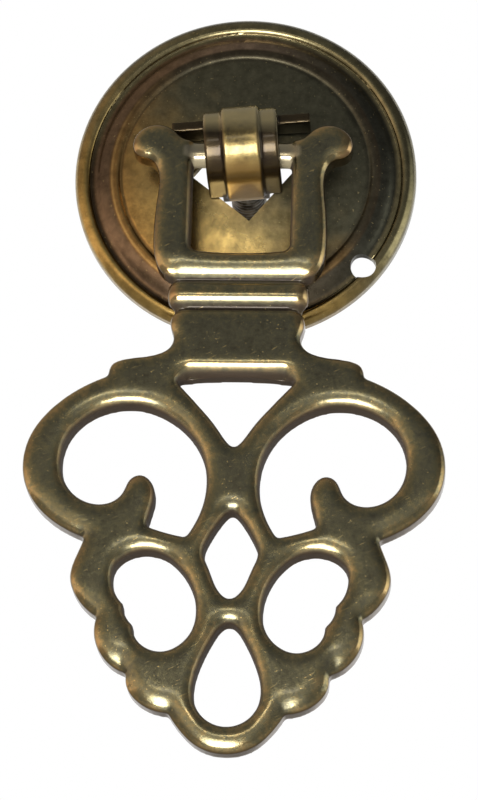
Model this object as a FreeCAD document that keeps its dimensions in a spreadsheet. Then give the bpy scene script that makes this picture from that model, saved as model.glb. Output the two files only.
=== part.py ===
"""Drop pull for a drawer or small door: a pressed round backplate, a rolled hanger strap with a
threaded stud, and a cast drop that swings on the rod between the arms of its yoke.

Frame: +Z is up, the plate stands upright and faces -Y, and the drawer front is the plane Y = 0.
The origin is the centre of the plate's back. All sizes are in millimetres.
"""
import FreeCAD, Part
import math
import os
import Sketcher

Vector = FreeCAD.Vector
doc = FreeCAD.newDocument("DropPull")

# Driving sizes
SIZES = [
    # pressed plate
    ("plate_radius", 19.0),
    ("plate_sheet", 0.9),
    ("disc_radius", 13.7),
    ("disc_height", 2.6),
    ("disc_fall", 0.45),
    ("crease_depth", 0.15),
    ("rim_land", 0.8),
    ("rim_bead_width", 1.7),
    ("rim_bead_height", 1.75),
    ("valley_height", 1.1),
    ("square_side", 8.4),
    ("pin_radius", 1.4),
    ("pin_edge_wall", 0.5),
    ("plate_turn", 46.0),
    # rolled strap; the strap, stud and plate are set at a small turn behind the upright drop
    ("hanger_turn", 5.0),
    ("strap_width", 8.1),
    ("strap_sheet", 1.1),
    ("strap_edge_round", 0.25),
    ("loop_radius", 2.97),
    ("run_clearance", 0.15),
    ("rib_width", 4.2),
    ("rib_height", 0.4),
    ("foot_width", 15.3),
    ("foot_depth", 3.1),
    ("neck_width", 5.2),
    ("tail_bend", 0.4),
    ("tail_recess", 0.2),
    ("tail_height", 4.0),
    # threaded stud
    ("stud_radius", 2.0),
    ("stud_reach", 22.0),
    ("stud_height", 1.3),
    ("stud_chamfer", 0.5),
    ("spigot_radius", 1.5),
    ("spigot_fit", 0.05),
    # cast drop
    ("pivot_reach", 4.35),
    ("drop_length", 67.5),
    ("drop_width", 45.1),
    ("drop_thickness", 3.0),
    ("edge_round", 0.8),
    ("notch_round", 0.35),
    ("rod_radius", 1.4),
    ("yoke_gap", 10.9),
    ("yoke_width", 24.2),
    ("horn_height", 3.35),
    ("bar_top", 11.75),
    ("bar_bottom", 14.8),
    ("stem_bead_radius", 1.72),
    ("stem_bead_length", 15.3),
    ("stem_bead_round", 1.2),
    ("neck_top", 18.4),
    ("stem_width", 13.8),
]

sheet = doc.addObject("Spreadsheet::Sheet", "Sizes")
for row, (alias, number) in enumerate(SIZES, start=1):
    sheet.set("A%d" % row, alias)
    sheet.set("B%d" % row, str(number))
    sheet.setAlias("B%d" % row, alias)
doc.recompute()
size = dict(SIZES)


def new_body(label):
    body = doc.addObject("PartDesign::Body", label)
    body.Label = label
    return body


def new_sketch(body, plane, name):
    sketch = body.newObject("Sketcher::SketchObject", name)
    origin_plane = [f for f in body.Origin.OriginFeatures if f.Role == plane][0]
    sketch.AttachmentSupport = [(origin_plane, "")]
    sketch.MapMode = "FlatFace"
    return sketch


def point(pair):
    return Vector(pair[0], pair[1], 0)


def line(sketch, start, end):
    return sketch.addGeometry(Part.LineSegment(point(start), point(end)))


def arc(sketch, start, middle, end):
    return sketch.addGeometry(Part.Arc(point(start), point(middle), point(end)))


def curve(sketch, pairs, leave=None, arrive=None):
    """A smooth curve through the points, with its direction at either end where that matters."""
    spline = Part.BSplineCurve()
    points = [point(p) for p in pairs]
    if leave is None:
        spline.interpolate(Points=points)
    else:
        first = point(leave).normalize()
        last = point(arrive).normalize()
        spline.interpolate(Points=points, InitialTangent=first, FinalTangent=last, Scale=False)
    return sketch.addGeometry(spline)


def chain(sketch, corners):
    """Straight lines from corner to corner, closed."""
    for start, end in zip(corners, corners[1:] + corners[:1]):
        line(sketch, start, end)


def bind(target, name, formula):
    target.setExpression(name, formula)


def bound_circle(sketch, x, y, radius, formulas):
    """A circle bound to the sheet by formulas for its radius, x and y, with None for a zero."""
    circle = sketch.addGeometry(Part.Circle(Vector(x, y, 0), Vector(0, 0, 1), radius))
    number = sketch.addConstraint(Sketcher.Constraint("Radius", circle, radius))
    bind(sketch, "Constraints[%d]" % number, formulas[0])
    places = [("DistanceX", -2, x, formulas[1]), ("DistanceY", -1, y, formulas[2])]
    for kind, axis, place, formula in places:
        if formula is None:
            sketch.addConstraint(Sketcher.Constraint("PointOnObject", circle, 3, axis))
        else:
            number = sketch.addConstraint(Sketcher.Constraint(kind, -1, 1, circle, 3, place))
            bind(sketch, "Constraints[%d]" % number, formula)
    return circle


def pad(body, sketch, name, formula, both_ways=False, turned=False):
    feature = body.newObject("PartDesign::Pad", name)
    feature.Profile = sketch
    feature.Midplane = both_ways
    feature.Reversed = turned
    bind(feature, "Length", formula)
    doc.recompute()
    return feature


def pocket(body, sketch, name, formula, both_ways=False, turned=False):
    before = body.Shape.Volume
    feature = body.newObject("PartDesign::Pocket", name)
    feature.Profile = sketch
    feature.Midplane = both_ways
    feature.Reversed = turned
    bind(feature, "Length", formula)
    doc.recompute()
    if body.Shape.Volume > before - 1e-3:
        raise RuntimeError(name + " cuts nothing")
    return feature


def fillet(body, base, name, formula, wanted):
    """Rounds the edges of the last feature that the test picks out."""
    feature = body.newObject("PartDesign::Fillet", name)
    names = ["Edge%d" % (i + 1) for i, edge in enumerate(base.Shape.Edges) if wanted(edge)]
    feature.Base = (base, names)
    bind(feature, "Radius", formula)
    doc.recompute()
    return feature


def lies_on(edge, axis, place):
    """True where the whole edge lies in the plane at that place on the axis."""
    box = edge.BoundBox
    ends = {"x": (box.XMin, box.XMax), "y": (box.YMin, box.YMax), "z": (box.ZMin, box.ZMax)}
    return all(abs(end - place) < 1e-4 for end in ends[axis])


# Backplate: one pressed section turned about the plate's axis, then pierced
plate = new_body("backplate")
section = new_sketch(plate, "XY_Plane", "plate_section")
outer = size["plate_radius"]
gauge = size["plate_sheet"]
crown = -size["disc_height"]
crease = size["disc_radius"]
crease_y = crown + size["disc_fall"]
bead_in = outer - size["rim_bead_width"]
valley = -size["valley_height"]
land = outer - size["rim_land"]
sag = size["disc_fall"] * 0.25
nick = size["crease_depth"]
lane = bead_in - crease

# front face, from the crown of the disc out to the rim
arc(section, (0, crown), (crease / 2, crown + sag), (crease, crease_y))
line(section, (crease, crease_y), (crease + nick, crease_y + nick))
line(section, (crease + nick, crease_y + nick), (crease + 2 * nick, crease_y))
shoulder = (crease + 0.69 * lane, valley - 0.5 * gauge)
arc(section, (crease + 2 * nick, crease_y), (crease + 0.46 * lane, crease_y + 0.22 * gauge), shoulder)
arc(section, shoulder, (bead_in - 0.15 * lane, valley - 0.09 * gauge), (bead_in, valley))
bead_crown = outer - 0.47 * size["rim_bead_width"]
arc(section, (bead_in, valley), (bead_crown, -size["rim_bead_height"]), (outer, -gauge))
# sheared edge, then the flat land that meets the drawer front
line(section, (outer, -gauge), (outer, 0))
line(section, (outer, 0), (land, 0))
# back face, one sheet thickness behind the front
back_shoulder = (shoulder[0] - 0.1 * lane, shoulder[1] + gauge)
back_crease = (crease, crease_y + gauge)
line(section, (land, 0), (bead_in, valley + gauge))
arc(section, (bead_in, valley + gauge), (bead_in - 0.21 * lane, valley + 0.89 * gauge), back_shoulder)
arc(section, back_shoulder, (crease + 0.36 * lane, crease_y + 1.24 * gauge), back_crease)
arc(section, back_crease, (crease / 2, crown + sag + gauge), (0, crown + gauge))
line(section, (0, crown + gauge), (0, crown))
pressing = plate.newObject("PartDesign::Revolution", "pressing")
pressing.Profile = section
pressing.ReferenceAxis = (section, ["V_Axis"])
pressing.Angle = 360
doc.recompute()

square = new_sketch(plate, "XZ_Plane", "square_hole")
half = size["square_side"] / 2
chain(square, [(-half, -half), (half, -half), (half, half), (-half, half)])
pocket(plate, square, "square_pierced", "4 * Sizes.disc_height", both_ways=True)

pin = new_sketch(plate, "XZ_Plane", "pin_hole")
pin_pitch = outer - size["pin_edge_wall"] - size["pin_radius"]
bound_circle(pin, 0, -pin_pitch, size["pin_radius"],
             ("Sizes.pin_radius", None, "-(Sizes.plate_radius - Sizes.pin_edge_wall - Sizes.pin_radius)"))
pocket(plate, pin, "pin_pierced", "4 * Sizes.disc_height", both_ways=True)
turn_axis = Vector(0, -1, 0)
plate_angle = size["plate_turn"] + size["hanger_turn"]
plate.Placement = FreeCAD.Placement(Vector(0, 0, 0), FreeCAD.Rotation(turn_axis, plate_angle))
bind(plate, "Placement.Rotation.Angle", "(Sizes.plate_turn + Sizes.hanger_turn) * 1 deg")

# Hanger strap: its own Y = 0 is the crown of the disc, so -Y is the distance in front of the plate
strap = new_body("hanger_strap")
reach = size["pivot_reach"]
gauge = size["strap_sheet"]
inside = size["loop_radius"]
outside = inside + gauge
turn = math.radians(size["hanger_turn"])
# the rod lies level, so in the turned loop it comes closest at one end of the strap's width
skew = size["strap_width"] / 2 * math.tan(turn)
loop_z = inside - size["rod_radius"] / math.cos(turn) - size["run_clearance"] - skew
upper_out = loop_z + outside
upper_in = loop_z + inside
lower_out = loop_z - outside
lower_in = loop_z - inside
leg_end = -0.1 * gauge

loop = new_sketch(strap, "YZ_Plane", "loop_side")
line(loop, (0, upper_out), (-reach, upper_out))
arc(loop, (-reach, upper_out), (-reach - outside, loop_z), (-reach, lower_out))
line(loop, (-reach, lower_out), (leg_end, lower_out))
line(loop, (leg_end, lower_out), (leg_end, lower_in))
line(loop, (leg_end, lower_in), (-reach, lower_in))
arc(loop, (-reach, lower_in), (-reach - inside, loop_z), (-reach, upper_in))
line(loop, (-reach, upper_in), (0, upper_in))
line(loop, (0, upper_in), (0, upper_out))
rolled = pad(strap, loop, "rolled_loop", "Sizes.strap_width", both_ways=True)


def on_strap_edge(edge):
    box = edge.BoundBox
    at_side = abs(abs(box.XMin) - size["strap_width"] / 2) < 1e-4 and box.XLength < 1e-4
    middle = edge.valueAt((edge.FirstParameter + edge.LastParameter) / 2)
    on_round = abs(((middle.y + reach) ** 2 + (middle.z - loop_z) ** 2) ** 0.5 - outside) < 1e-4
    on_flat = abs(abs(middle.z - loop_z) - outside) < 1e-4
    return at_side and (on_round or on_flat)


fillet(strap, rolled, "strap_edges_softened", "Sizes.strap_edge_round", on_strap_edge)

# wide foot of the T, which bears on the face of the plate
foot = new_sketch(strap, "YZ_Plane", "foot_side")
foot_front = -size["foot_depth"]
chain(foot, [(0, upper_in), (0, upper_out), (foot_front, upper_out), (foot_front, upper_in)])
pad(strap, foot, "foot", "Sizes.foot_width", both_ways=True)

# neck through the square hole, turned up in the hollow behind the plate
tail_back = size["disc_height"] - size["tail_recess"]
tail_front = tail_back - gauge
bend = size["tail_bend"]
bend_y = tail_front - bend
bend_z = lower_in + bend
far = bend + gauge
slant = 0.70710678
neck_start = -gauge
tail = new_sketch(strap, "YZ_Plane", "tail_side")
line(tail, (neck_start, lower_out), (bend_y, lower_out))
arc(tail, (bend_y, lower_out), (bend_y + far * slant, bend_z - far * slant), (tail_back, bend_z))
line(tail, (tail_back, bend_z), (tail_back, size["tail_height"]))
line(tail, (tail_back, size["tail_height"]), (tail_front, size["tail_height"]))
line(tail, (tail_front, size["tail_height"]), (tail_front, bend_z))
arc(tail, (tail_front, bend_z), (bend_y + bend * slant, bend_z - bend * slant), (bend_y, lower_in))
line(tail, (bend_y, lower_in), (neck_start, lower_in))
line(tail, (neck_start, lower_in), (neck_start, lower_out))
pad(strap, tail, "tail", "Sizes.neck_width", both_ways=True)

# pressed rib round the loop: raised outside, hollow inside
lift = size["rib_height"]
rib = new_sketch(strap, "YZ_Plane", "rib_side")
rib_start = foot_front
skin = 0.3 * gauge
line(rib, (rib_start, upper_out - skin), (rib_start, upper_out))
line(rib, (rib_start, upper_out), (-reach, upper_out + lift))
arc(rib, (-reach, upper_out + lift), (-reach - outside - lift, loop_z), (-reach, lower_out - lift))
line(rib, (-reach, lower_out - lift), (leg_end, lower_out - lift))
line(rib, (leg_end, lower_out - lift), (leg_end, lower_out + skin))
line(rib, (leg_end, lower_out + skin), (-reach, lower_out + skin))
arc(rib, (-reach, lower_out + skin), (-reach - outside + skin, loop_z), (-reach, upper_out - skin))
line(rib, (-reach, upper_out - skin), (rib_start, upper_out - skin))
ribbed = pad(strap, rib, "rib", "Sizes.rib_width", both_ways=True)


def on_rib_side(edge):
    box = edge.BoundBox
    flat = abs(abs(box.XMin) - size["rib_width"] / 2) < 1e-4 and box.XLength < 1e-4
    middle = edge.valueAt((edge.FirstParameter + edge.LastParameter) / 2)
    far_out = ((middle.y + reach) ** 2 + (middle.z - loop_z) ** 2) ** 0.5
    round_part = middle.y < -reach + 1e-4 and far_out > outside + lift / 2
    straight_part = middle.y > -reach and middle.z < lower_out - lift / 2 and box.YLength > 1
    return flat and (round_part or straight_part)


ribbed = fillet(strap, ribbed, "rib_softened", "Sizes.rib_height * 0.85", on_rib_side)

hollow = new_sketch(strap, "YZ_Plane", "rib_hollow_side")
deep = inside + lift
open_side = inside - lift / 2
line(hollow, (-reach, loop_z + open_side), (-reach, loop_z + deep))
arc(hollow, (-reach, loop_z + deep), (-reach - deep, loop_z), (-reach, loop_z - deep))
line(hollow, (-reach, loop_z - deep), (-reach, loop_z - open_side))
arc(hollow, (-reach, loop_z - open_side), (-reach - open_side, loop_z), (-reach, loop_z + open_side))
pocket(strap, hollow, "rib_hollow", "Sizes.rib_width - 2 * Sizes.rib_height", both_ways=True)

# hole in the tail for the stud's spigot
spigot_hole = new_sketch(strap, "XZ_Plane", "spigot_hole")
bound_circle(spigot_hole, 0, size["stud_height"], size["spigot_radius"] + size["spigot_fit"],
             ("Sizes.spigot_radius + Sizes.spigot_fit", None, "Sizes.stud_height"))
pocket(strap, spigot_hole, "tail_drilled", "Sizes.disc_height")
strap_place = Vector(0, -size["disc_height"], 0)
strap.Placement = FreeCAD.Placement(strap_place, FreeCAD.Rotation(turn_axis, size["hanger_turn"]))
bind(strap, "Placement.Base.y", "-Sizes.disc_height * 1 mm")
bind(strap, "Placement.Rotation.Angle", "Sizes.hanger_turn * 1 deg")

# Fixing stud: its spigot is held in the tail, its shoulder bears on the tail's back, and the rest
# runs back through the drawer front. Its own Y = 0 is the front face of the tail
stud = new_body("fixing_stud")
stud_side = new_sketch(stud, "XY_Plane", "stud_section")
spigot = size["spigot_radius"]
shank = size["stud_radius"]
bevel = size["stud_chamfer"]
shoulder_y = gauge + size["spigot_fit"]
stud_end = gauge + size["tail_recess"] + size["stud_reach"]
chain(stud_side, [(0, 0), (spigot, 0), (spigot, shoulder_y), (shank - bevel / 2, shoulder_y),
                  (shank, shoulder_y + bevel), (shank, stud_end - bevel), (shank - bevel, stud_end),
                  (0, stud_end)])
stud_turned = stud.newObject("PartDesign::Revolution", "stud_turned")
stud_turned.Profile = stud_side
stud_turned.ReferenceAxis = (stud_side, ["V_Axis"])
stud_turned.Angle = 360
doc.recompute()
stud_place = Vector(0, -size["tail_recess"] - gauge, size["stud_height"])
stud_place = FreeCAD.Rotation(turn_axis, size["hanger_turn"]).multVec(stud_place)
stud.Placement = FreeCAD.Placement(stud_place, FreeCAD.Rotation(turn_axis, size["hanger_turn"]))
bind(stud, "Placement.Base.x", "-Sizes.stud_height * sin(Sizes.hanger_turn * 1 deg) * 1 mm")
bind(stud, "Placement.Base.y", "-(Sizes.tail_recess + Sizes.strap_sheet) * 1 mm")
bind(stud, "Placement.Base.z", "Sizes.stud_height * cos(Sizes.hanger_turn * 1 deg) * 1 mm")
bind(stud, "Placement.Rotation.Angle", "Sizes.hanger_turn * 1 deg")

# Drop: its own origin is on the rod's axis. The right half is drawn and the left is its mirror image
drop = new_body("drop")
gap = size["yoke_gap"] / 2
front = -size["drop_thickness"] / 2

# slab behind the beads, which ties the yoke to the pierced work
stem = new_sketch(drop, "XZ_Plane", "stem_plan")
stem_half = size["stem_width"] / 2
lap = size["drop_thickness"] / 3
stem_low = -size["neck_top"] - lap
stem_high = -size["bar_bottom"] + lap
chain(stem, [(0, stem_low), (stem_half, stem_low), (stem_half, stem_high), (0, stem_high)])
pad(drop, stem, "stem_slab", "Sizes.drop_thickness / 2", turned=True)

# yoke: inner edge, horn, arm and bottom bar. The curve is drawn for arms that reach 6.65 out of
# the gap and 14.8 down, with horns 3.35 high, and is stretched from there to the named sizes
arm_stretch = (size["yoke_width"] / 2 - gap) / 6.65
bar_stretch = size["bar_bottom"] / 14.8
horn_stretch = size["horn_height"] / 3.35


def yoke_spot(out, up):
    return (gap + out * arm_stretch, up * (horn_stretch if up > 0 else bar_stretch))


yoke = new_sketch(drop, "XZ_Plane", "yoke_plan")
bar_top = -size["bar_top"]
bar_low = -size["bar_bottom"]
arm_top = yoke_spot(0, 1.5)
bar_end = yoke_spot(1.25, -14.8)
inner_round = gap * 0.165
line(yoke, (0, bar_low), (0, bar_top))
bend_start = (gap - inner_round, bar_top + inner_round * 0.22)
bend_middle = (gap - inner_round * 0.28, bar_top + inner_round * 0.56)
bend_end = (gap, bar_top + inner_round * 1.28)
arc(yoke, (0, bar_top), (gap * 0.5, bar_top + inner_round * 0.07), bend_start)
arc(yoke, bend_start, bend_middle, bend_end)
line(yoke, bend_end, arm_top)
horn = [arm_top, yoke_spot(1.05, 1.72), yoke_spot(2.25, 2.75), yoke_spot(4.05, 3.35), yoke_spot(5.85, 2.6),
        yoke_spot(6.65, 0.85), yoke_spot(5.8, -0.5), yoke_spot(4.45, -0.95)]
arm = [yoke_spot(3.75, -2.1), yoke_spot(3.7, -5.0), yoke_spot(4.0, -10.4), yoke_spot(3.7, -12.6),
       yoke_spot(2.75, -14.2), bar_end]
curve(yoke, horn + arm, leave=(1, 0), arrive=(-1, 0))
line(yoke, bar_end, (0, bar_low))
pad(drop, yoke, "yoke", "Sizes.drop_thickness", both_ways=True)

# pierced work: neck, shoulder, scroll, three leaf lobes and the point, then back up the middle.
# It is drawn for a drop 45.1 wide and 49.1 from neck to point, and stretched to the named sizes
neck_z = -size["neck_top"]
wide_stretch = size["drop_width"] / 45.1
long_stretch = (size["drop_length"] - size["neck_top"]) / 49.1


def spot(out, down):
    return (out * wide_stretch, neck_z - down * long_stretch)


def spots(*pairs):
    return [spot(out, down) for out, down in pairs]


fret = new_sketch(drop, "XZ_Plane", "fret_plan")
neck_corner = spot(5.7, 0)
ear = spot(13.75, 7.65)
notches = spots((15.6, 25.8), (13.95, 34.5), (10.6, 40.6), (6.1, 44.8))
tip = spot(0, 49.1)
line(fret, (0, neck_z), neck_corner)
neck_side = spots((7.1, 0.8), (7.2, 2.0), (6.85, 3.2), (7.3, 4.4), (8.5, 5.1), (12.2, 5.75), (13.4, 6.35))
curve(fret, [neck_corner] + neck_side + [ear], leave=(1, 0), arrive=(0, -1))
scroll_back = spots((16.6, 9.0), (19.5, 11.2), (21.7, 14.1), (22.55, 17.4), (22.1, 20.2), (20.6, 22.6),
                    (18.3, 24.5))
curve(fret, [ear] + scroll_back + [notches[0]])
curve(fret, [notches[0]] + spots((16.4, 27.9), (16.95, 30.2), (16.3, 32.2)) + [notches[1]])
curve(fret, [notches[1]] + spots((14.15, 36.6), (13.5, 38.4)) + [notches[2]])
curve(fret, [notches[2]] + spots((10.5, 42.1), (9.5, 43.5)) + [notches[3]])
curve(fret, [notches[3]] + spots((4.95, 46.5), (2.9, 48.35)) + [tip], leave=(-0.5, -1), arrive=(-1, 0))
# teardrop
tear_low = spot(0, 46.2)
tear_high = spot(0, 35.1)
line(fret, tip, tear_low)
tear_side = spots((2.1, 45.5), (3.3, 43.9), (3.5, 41.9), (2.8, 39.2), (1.5, 36.5))
curve(fret, [tear_low] + tear_side + [tear_high], leave=(1, 0), arrive=(-1, 0))
# diamond
diamond_low = spot(0, 32.4)
diamond_high = spot(0, 22.8)
line(fret, tear_high, diamond_low)
diamond_side = spots((1.0, 31.8), (2.3, 29.1), (2.85, 27.5), (2.3, 25.8), (0.8, 23.4))
curve(fret, [diamond_low] + diamond_side + [diamond_high], leave=(1, 0), arrive=(-1, 0))
# triangle under the neck
vee_low = spot(0, 15.55)
vee_corner = spot(6.6, 8.05)
vee_high = spot(0, 7.55)
line(fret, diamond_high, vee_low)
curve(fret, [vee_low] + spots((0.7, 15.1), (1.9, 13.4), (3.7, 11.2)) + [vee_corner],
      leave=(1, 0), arrive=(0.7, 0.7))
arc(fret, vee_corner, spot(3.4, 7.65), vee_high)
line(fret, vee_high, (0, neck_z))
# scroll opening, with the curled tip that stands up in it
crook = spot(4.85, 25.7)
heel = spot(9.0, 24.55)
curl = spots((8.55, 22.8), (8.25, 21.0), (8.75, 19.5), (9.9, 18.8), (11.0, 19.35), (11.7, 20.8))
hollow_of_curl = spots((13.0, 21.9), (14.6, 22.1), (16.6, 21.3), (18.0, 19.5), (18.4, 17.2), (17.7, 14.5))
under_arm = spots((15.6, 12.2), (12.9, 11.1), (10.2, 11.0), (7.4, 12.0), (4.9, 14.0))
inner_side = spots((3.3, 16.7), (2.8, 19.6), (3.3, 22.7))
arc(fret, crook, spot(7.0, 25.2), heel)
curve(fret, [heel] + curl + hollow_of_curl + under_arm + inner_side + [crook])
# leaf opening, with two small steps in its outer edge
step_one = spot(11.2, 33.1)
step_two = spot(10.1, 35.4)
leaf_low = spots((9.75, 36.8), (8.6, 37.85), (6.9, 38.2), (5.2, 37.5), (3.9, 35.9), (3.5, 33.8))
leaf_high = spots((3.9, 31.6), (5.1, 29.4), (6.9, 27.8), (8.9, 27.3), (11.0, 27.8), (12.2, 29.0),
                  (12.45, 30.5))
curve(fret, [step_two] + leaf_low + leaf_high + [step_one])
curve(fret, [step_one, spot(11.0, 34.2), step_two])
fretwork = pad(drop, fret, "fretwork", "Sizes.drop_thickness", both_ways=True)


def is_corner(edge):
    """An upright edge at a notch of the outline, at a corner of an opening or at the top of an arm."""
    box = edge.BoundBox
    if box.XLength > 1e-4 or box.ZLength > 1e-4:
        return False
    corners = notches + [ear, vee_corner, crook, heel, arm_top]
    return any(abs(box.XMin - x) < 1e-3 and abs(box.ZMin - z) < 1e-3 for x, z in corners)


softened = fillet(drop, fretwork, "notches_softened", "Sizes.notch_round", is_corner)


def is_front_edge(edge):
    return lies_on(edge, "y", front) and not lies_on(edge, "x", 0)


# squeezing the outline makes its leaf tips tighter by the square, and the rounding has to fit in them
front_radius = ("Sizes.edge_round * min(1; Sizes.drop_width / 45.1;"
                " (Sizes.drop_length - Sizes.neck_top) / 49.1) ^ 2")
rounded = fillet(drop, softened, "front_rounded", front_radius, is_front_edge)

# bead across the stem: half-round in front, with a flat slab behind it
bead_z = -(size["bar_bottom"] + size["neck_top"]) / 2
bead_end = size["stem_bead_length"] / 2
bead_round = size["stem_bead_round"]
bead_radius = size["stem_bead_radius"]
bead_top = bead_z + bead_radius
bead_side = bead_end - bead_round
bead = new_sketch(drop, "XZ_Plane", "bead_plan")
line(bead, (0, bead_z), (0, bead_top))
line(bead, (0, bead_top), (bead_side, bead_top))
arc(bead, (bead_side, bead_top), (bead_side + bead_round * slant, bead_top - bead_round * (1 - slant)),
    (bead_end, bead_top - bead_round))
line(bead, (bead_end, bead_top - bead_round), (bead_end, bead_z))
axis_line = line(bead, (bead_end, bead_z), (0, bead_z))
bead_turned = drop.newObject("PartDesign::Revolution", "stem_bead")
bead_turned.Profile = bead
bead_turned.ReferenceAxis = (bead, ["Edge%d" % (axis_line + 1)])
bead_turned.Angle = 180
bead_turned.Reversed = True
doc.recompute()

# rod that the strap holds
rod_end = new_sketch(drop, "YZ_Plane", "rod_ring")
bound_circle(rod_end, 0, 0, size["rod_radius"], ("Sizes.rod_radius", None, None))
pad(drop, rod_end, "pivot_rod", "Sizes.yoke_gap / 2 + Sizes.drop_thickness / 3")

mirror = drop.newObject("PartDesign::Mirrored", "left_half")
mirror.TransformMode = "Whole shape"
mirror.MirrorPlane = ([f for f in drop.Origin.OriginFeatures if f.Role == "YZ_Plane"][0], [""])
drop.Tip = mirror
pivot_place = Vector(0, -size["disc_height"] - size["pivot_reach"], 0)
drop.Placement = FreeCAD.Placement(pivot_place, FreeCAD.Rotation())
bind(drop, "Placement.Base.y", "-(Sizes.disc_height + Sizes.pivot_reach) * 1 mm")
doc.recompute()

# Check and write
for thing in doc.Objects:
    if "Invalid" in thing.State or "Error" in thing.State:
        raise RuntimeError("%s failed: %s" % (thing.Name, thing.State))
os.makedirs("parts", exist_ok=True)
for body in (plate, strap, stud, drop):
    shape = body.Shape
    if shape.isNull() or not shape.isValid() or len(shape.Solids) != 1:
        raise RuntimeError("%s is not one sound solid" % body.Label)
    shape.exportStep("parts/%s.step" % body.Label)
    box = shape.optimalBoundingBox(True, False)
    print("%-13s volume %8.1f  x %.2f..%.2f  y %.2f..%.2f  z %.2f..%.2f" % (
        body.Label, shape.Volume, box.XMin, box.XMax, box.YMin, box.YMax, box.ZMin, box.ZMax))
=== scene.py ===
# %% [markdown]
# # A drop pull in antique brass
# The pull has four pieces: a round plate pressed from sheet, a strap rolled into a loop, a threaded
# stud, and a cast drop that swings in the loop. The solids arrive as a finished frame, in metres.
# This lesson gives them a camera, soft light, worn metal and a real screw thread.

# %% Load the frame
import math

import bmesh
import bpy
import numpy as np
from mathutils import Matrix, Quaternion, Vector
from mathutils.bvhtree import BVHTree
from mathutils.kdtree import KDTree


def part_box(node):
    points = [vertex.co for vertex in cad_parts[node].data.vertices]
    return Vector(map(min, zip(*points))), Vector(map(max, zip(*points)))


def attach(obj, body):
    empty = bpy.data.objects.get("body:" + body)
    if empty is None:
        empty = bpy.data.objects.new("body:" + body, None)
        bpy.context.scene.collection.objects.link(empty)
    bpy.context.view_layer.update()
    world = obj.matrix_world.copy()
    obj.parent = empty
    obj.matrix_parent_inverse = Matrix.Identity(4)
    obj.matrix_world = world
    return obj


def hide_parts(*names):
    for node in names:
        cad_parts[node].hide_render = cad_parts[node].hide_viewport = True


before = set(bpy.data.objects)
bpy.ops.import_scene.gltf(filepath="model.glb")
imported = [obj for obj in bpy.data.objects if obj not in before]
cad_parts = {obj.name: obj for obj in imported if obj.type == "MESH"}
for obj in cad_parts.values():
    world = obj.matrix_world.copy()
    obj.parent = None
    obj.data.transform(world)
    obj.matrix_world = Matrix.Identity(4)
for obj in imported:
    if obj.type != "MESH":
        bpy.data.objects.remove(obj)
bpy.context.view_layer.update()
scene = bpy.context.scene
scene.view_settings.view_transform = "Standard"
MM = 0.001

# %% [markdown]
# ## Camera
# The pull is seen a little from below and from its right, through a long lens, so that parallel
# edges stay nearly parallel. A camera could be turned by three angles, but it is easier to place by
# two points, the eye and what it looks at, with a small roll about the line between them.

# %% Camera
EYE = Vector((23.4, -387.54, -161.4)) * MM
AIM = Vector((0.36, -6.95, -28.39)) * MM
ROLL = math.radians(1.66)
FIELD_OF_VIEW = math.radians(12.13)

lens = bpy.data.cameras.new("camera")
lens.sensor_fit = "AUTO"
lens.angle = FIELD_OF_VIEW
lens.clip_start = 10 * MM
camera = bpy.data.objects.new("camera", lens)
scene.collection.objects.link(camera)
camera.location = EYE
camera.rotation_mode = "QUATERNION"
camera.rotation_quaternion = (AIM - EYE).to_track_quat("-Z", "Y") @ Quaternion((0, 0, 1), ROLL)
scene.camera = camera
print("camera is %.0f mm from what it looks at" % ((AIM - EYE).length / MM))

# %% [markdown]
# ## Colours and nodes
# Colours are easiest to choose as the hex values of a paint program, but shaders count in linear
# light, so one function converts them. A second one adds a shader node with its settings, and takes
# for each socket either a value or the output of another node. A third starts an empty material.


# %% Colour and node helpers
def linear(hex_colour):
    """Linear RGBA from an sRGB hex value such as '8a7a4c'."""
    channels = [int(hex_colour[i:i + 2], 16) / 255 for i in (0, 2, 4)]
    return [c / 12.92 if c <= 0.04045 else ((c + 0.055) / 1.055) ** 2.4 for c in channels] + [1.0]


def add(tree, kind, sockets=None, stops=None, **settings):
    """One node: settings are its own options, sockets its inputs, stops the colours of a ramp."""
    node = tree.nodes.new(kind)
    for name, value in settings.items():
        setattr(node, name, value)
    for name, value in (sockets or {}).items():
        if isinstance(value, bpy.types.NodeSocket):
            tree.links.new(value, node.inputs[name])
        else:
            node.inputs[name].default_value = value
    for number, (position, hex_colour) in enumerate(stops or []):
        elements = node.color_ramp.elements
        stop = elements[number] if number < 2 else elements.new(position)
        stop.position = position
        stop.color = linear(hex_colour)
    return node


def new_material(name):
    """An empty material, its node tree, and the socket that its shader goes to."""
    material = bpy.data.materials.new(name)
    material.use_nodes = True
    tree = material.node_tree
    tree.nodes.clear()
    output = add(tree, "ShaderNodeOutputMaterial")
    return material, tree, output.inputs["Surface"]


print("e.g. rubbed brass is", [round(c, 3) for c in linear("b89a5c")])

# %% [markdown]
# ## White surroundings
# Metal has hardly any colour of its own: it shows its surroundings, tinted. The pull was set before
# plain white, so the world is white for every ray that looks at it, straight, mirrored or through
# something. As a lamp it is dimmer, because a full white sky would wash out the dark film.

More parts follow.
